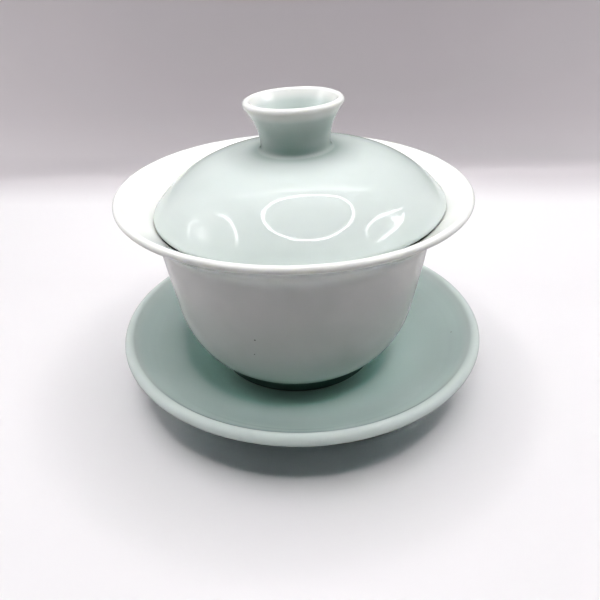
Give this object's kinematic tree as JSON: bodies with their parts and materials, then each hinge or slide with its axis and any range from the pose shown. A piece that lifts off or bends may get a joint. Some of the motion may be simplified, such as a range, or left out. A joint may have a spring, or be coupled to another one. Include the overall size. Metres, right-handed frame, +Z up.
{
  "type": "gaiwan",
  "caption": "Lidded tea bowl with a flared rim on a matching saucer, for brewing and pouring loose-leaf tea; the bowl and its knobbed lid lift off.",
  "frame": {"origin": "on the table, at the centre of the saucer's foot ring", "axes": "+Z up along the saucer's axis; +X to the right and +Y to the back as the set is usually seen; the bowl stands 1.5 mm to -X and leans 0.55 degrees to -Y, and the lid is tilted 2 degrees in it, its +X side high"},
  "size_m": [0.108, 0.108, 0.084],
  "materials": {
    "saucer_glaze": "glossy pale celadon glaze, white where it thins over the lip; unglazed foot ring",
    "bowl_glaze": "glossy pale celadon glaze, white on the flared rim; unglazed foot ring",
    "lid_glaze": "glossy pale celadon glaze, white on the lip of the knob"
  },
  "bodies": {
    "saucer": {"saucer": "saucer_glaze"},
    "bowl": {"bowl": "bowl_glaze"},
    "lid": {"lid": "lid_glaze"}
  },
  "joints": [
    {"name": "bowl_lift", "type": "slide", "parent": "saucer", "child": "bowl", "axis": [0, 0, 1], "range_m": [0, 0.06]},
    {"name": "lid_lift", "type": "slide", "parent": "bowl", "child": "lid", "axis": [0, 0, 1], "range_m": [0, 0.06]}
  ]
}
